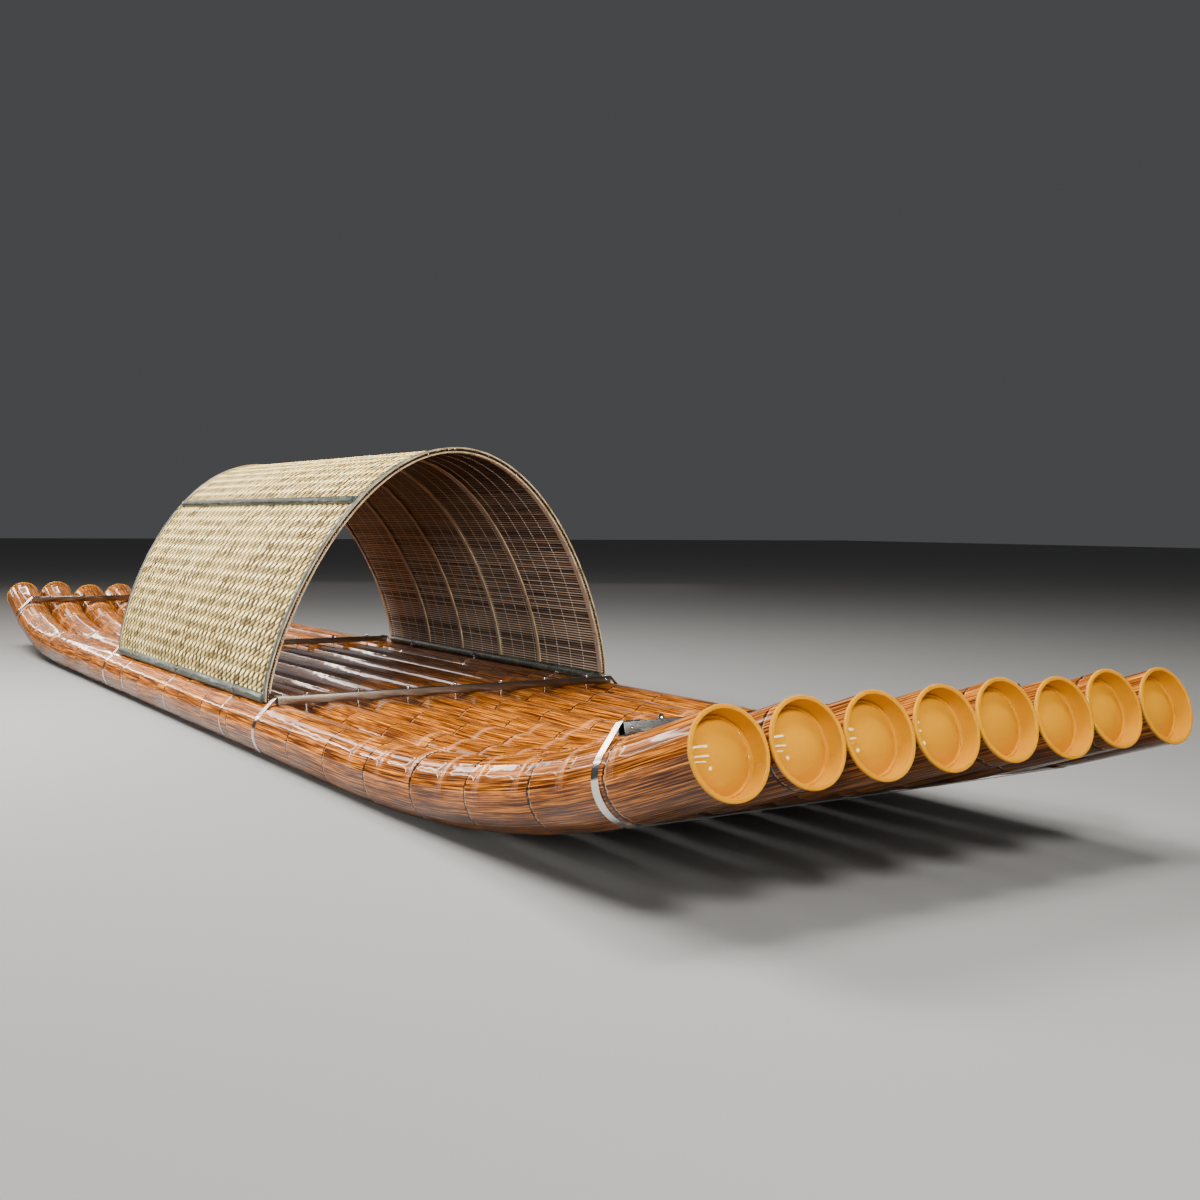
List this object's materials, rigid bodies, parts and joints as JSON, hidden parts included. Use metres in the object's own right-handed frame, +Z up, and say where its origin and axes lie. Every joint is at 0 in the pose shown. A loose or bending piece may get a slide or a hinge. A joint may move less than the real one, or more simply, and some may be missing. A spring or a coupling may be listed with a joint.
{
  "type": "bamboo raft",
  "caption": "Raft of bamboo-look plastic pipes turned up at both ends, capped and strapped under steel crossbars, with an arched canopy of woven mat on bamboo laths.",
  "frame": {"origin": "centre of the footprint, on the floor under the two middle girth bands", "axes": "+X towards the bow, +Y to port, +Z up"},
  "size_m": [7.7566, 1.6516, 1.1808],
  "materials": {
    "film": "glossy brown wood-grain film on plastic pipe",
    "cap": "glossy amber plastic",
    "steel": "polished stainless steel",
    "mat": "woven pale bamboo strips, matt",
    "liner": "dark brown slats held by pale threads",
    "lath": "tan bamboo lath, satin",
    "bamboo": "grey-green split bamboo, waxy"
  },
  "bodies": {
    "root": {"band_a": "steel", "band_b": "steel", "band_c": "steel", "band_d": "steel", "bow_cap_1": "cap", "bow_cap_2": "cap", "bow_cap_3": "cap", "bow_cap_4": "cap", "bow_cap_5": "cap", "bow_cap_6": "cap", "bow_cap_7": "cap", "bow_cap_8": "cap", "canopy_liner": "liner", "canopy_mat": "mat", "crossbar_a": "steel", "crossbar_b": "steel", "crossbar_c": "steel", "crossbar_d": "steel", "hoop_bow": "bamboo", "hoop_stern": "bamboo", "inner_rail_port": "bamboo", "inner_rail_starboard": "bamboo", "outer_rail_port": "bamboo", "outer_rail_starboard": "bamboo", "pipe_1": "film", "pipe_2": "film", "pipe_3": "film", "pipe_4": "film", "pipe_5": "film", "pipe_6": "film", "pipe_7": "film", "pipe_8": "film", "purlin_port": "bamboo", "purlin_starboard": "bamboo", "rib_1": "lath", "rib_2": "lath", "rib_3": "lath", "rib_4": "lath", "rib_5": "lath", "rib_6": "lath", "stern_cap_1": "cap", "stern_cap_2": "cap", "stern_cap_3": "cap", "stern_cap_4": "cap", "stern_cap_5": "cap", "stern_cap_6": "cap", "stern_cap_7": "cap", "stern_cap_8": "cap", "tie_port_1": "steel", "tie_port_2": "steel", "tie_port_3": "steel", "tie_starboard_1": "steel", "tie_starboard_2": "steel", "tie_starboard_3": "steel"}
  },
  "joints": []
}
